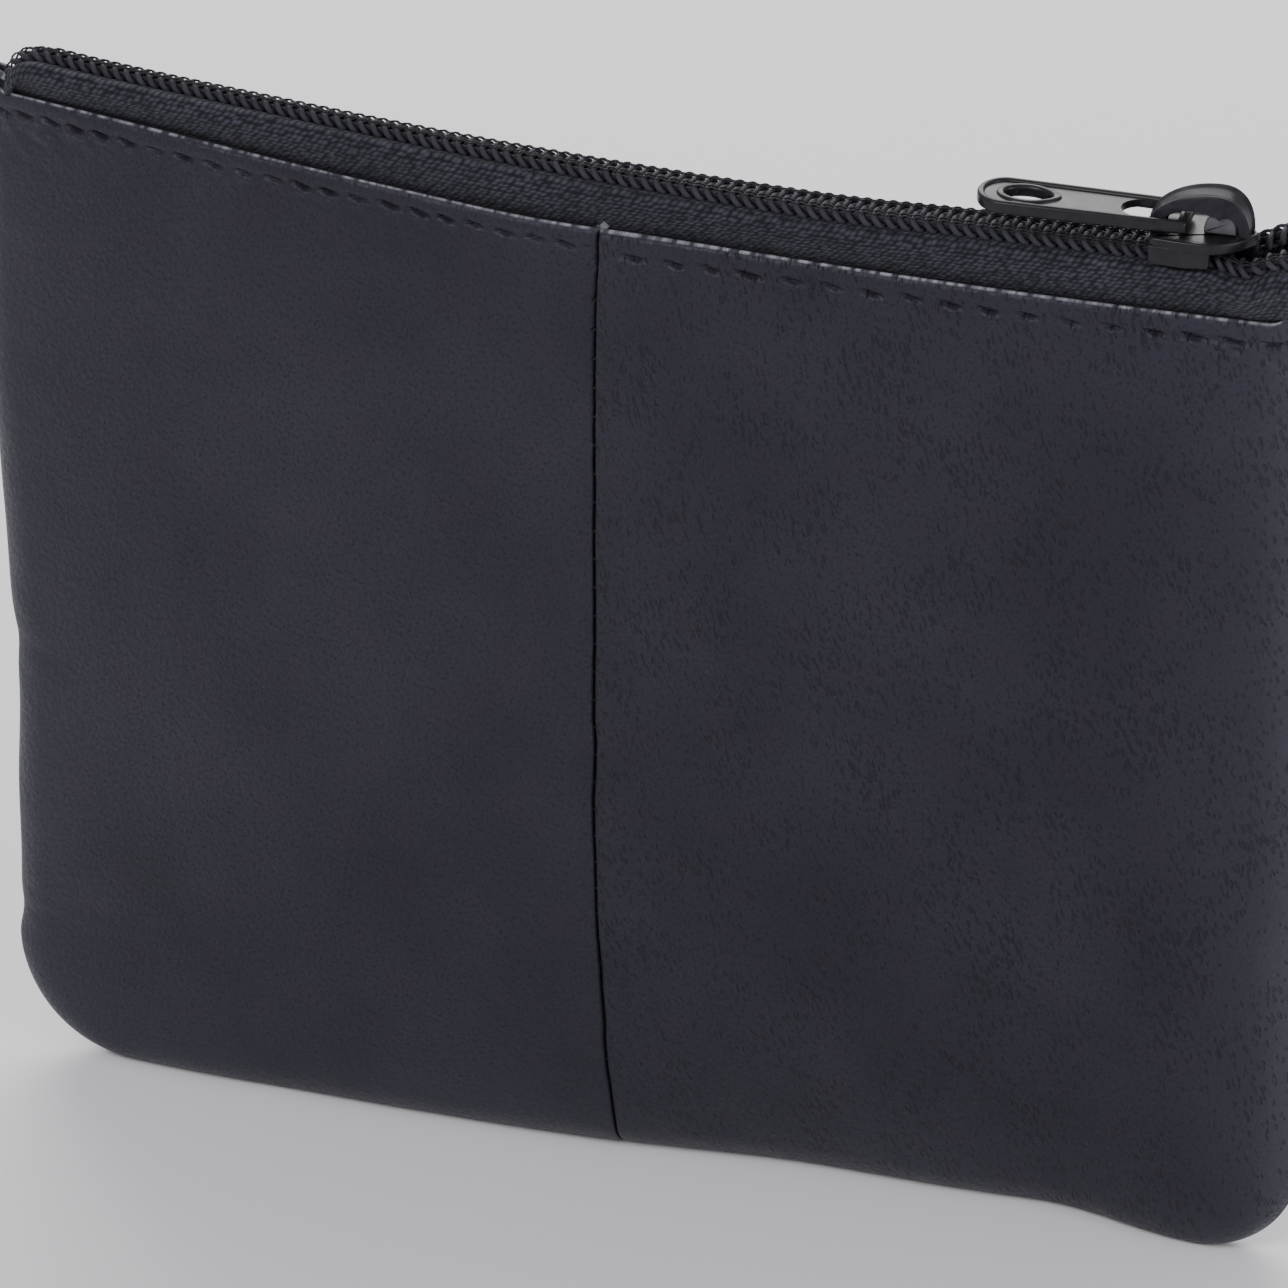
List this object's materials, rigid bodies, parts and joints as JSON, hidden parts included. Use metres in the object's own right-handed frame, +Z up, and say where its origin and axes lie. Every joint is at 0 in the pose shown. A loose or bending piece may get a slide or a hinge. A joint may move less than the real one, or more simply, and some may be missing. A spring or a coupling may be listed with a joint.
{
  "type": "zip coin purse",
  "caption": "Slim soft leather coin purse, each wall sewn from two halves, closed along its top by a nylon coil zip with a metal slider and puller.",
  "frame": {"origin": "middle of the bounding box's underside, under the bottom seam", "axes": "+Z up towards the zip, front faces -Y, +X towards the side where the slider rests with the zip closed"},
  "size_m": [0.124, 0.018, 0.105],
  "materials": {
    "leather": "smooth black leather with a soft semi-gloss",
    "lining": "matt black woven lining",
    "zip_tape": "matt black woven tape",
    "zip_coil": "black nylon monofilament",
    "thread": "black sewing thread",
    "black_metal": "glossy black paint on cast zinc"
  },
  "bodies": {
    "purse": {"back_panel_left": "leather", "back_panel_right": "leather", "back_top_stitch_left": "thread", "back_top_stitch_right": "thread", "back_centre_seam_thread": "thread", "back_lining": "lining", "back_zip_tape": "zip_tape", "back_zip_coil": "zip_coil", "closing_seam_thread": "thread"},
    "front_wall": {"front_panel_left": "leather", "front_panel_right": "leather", "front_top_stitch_left": "thread", "front_top_stitch_right": "thread", "front_centre_seam_thread": "thread", "front_lining": "lining", "front_zip_tape": "zip_tape", "front_zip_coil": "zip_coil"},
    "slider": {"slider_body": "black_metal", "slider_bonnet": "black_metal", "lock_pawl": "black_metal"},
    "puller": {"puller": "black_metal"}
  },
  "joints": [
    {"name": "mouth_open", "type": "hinge", "parent": "purse", "child": "front_wall", "pos_m": [0, -0.00142, 0], "axis": [0.9962, 0.0868, 0], "range_deg": [0, 9], "deforming": ["front_zip_coil", "front_zip_tape"]},
    {"name": "slider_travel", "type": "hinge", "parent": "purse", "child": "slider", "pos_m": [0, 0.39177, 0.0995], "axis": [0, 0, -1], "range_deg": [0, 15], "deforming": ["back_zip_coil"]},
    {"name": "puller_swing", "type": "hinge", "parent": "slider", "child": "puller", "pos_m": [0.05086, 0.00037, 0.1029], "axis": [-0.1331, 0.9911, 0], "range_deg": [0, 140]}
  ],
  "couplings": [
    {"joint": "slider_travel", "follows": "mouth_open", "ratio": 1.6667}
  ]
}
